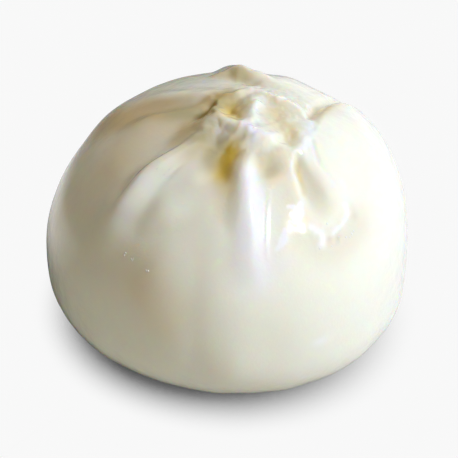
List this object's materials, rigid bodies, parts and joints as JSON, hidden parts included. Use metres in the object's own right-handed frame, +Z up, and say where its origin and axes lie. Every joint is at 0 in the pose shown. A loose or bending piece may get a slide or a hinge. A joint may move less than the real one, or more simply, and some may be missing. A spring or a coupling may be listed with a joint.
{
  "type": "burratina cheese",
  "caption": "Small round fresh cheese, a cream-filled pouch of stretched curd pinched shut on top with soft radiating folds; rests on its underside.",
  "frame": {"origin": "middle of the cheese's box on the surface it rests on", "axes": "+Z up through the pinched top; +X towards the fuller shoulder; -Y towards the side that the longest fold runs down"},
  "size_m": [0.0688, 0.0672, 0.051],
  "materials": {
    "curd": "wet, smooth, ivory white stretched curd that lets light in"
  },
  "bodies": {
    "root": {"burratina": "curd"}
  },
  "joints": []
}
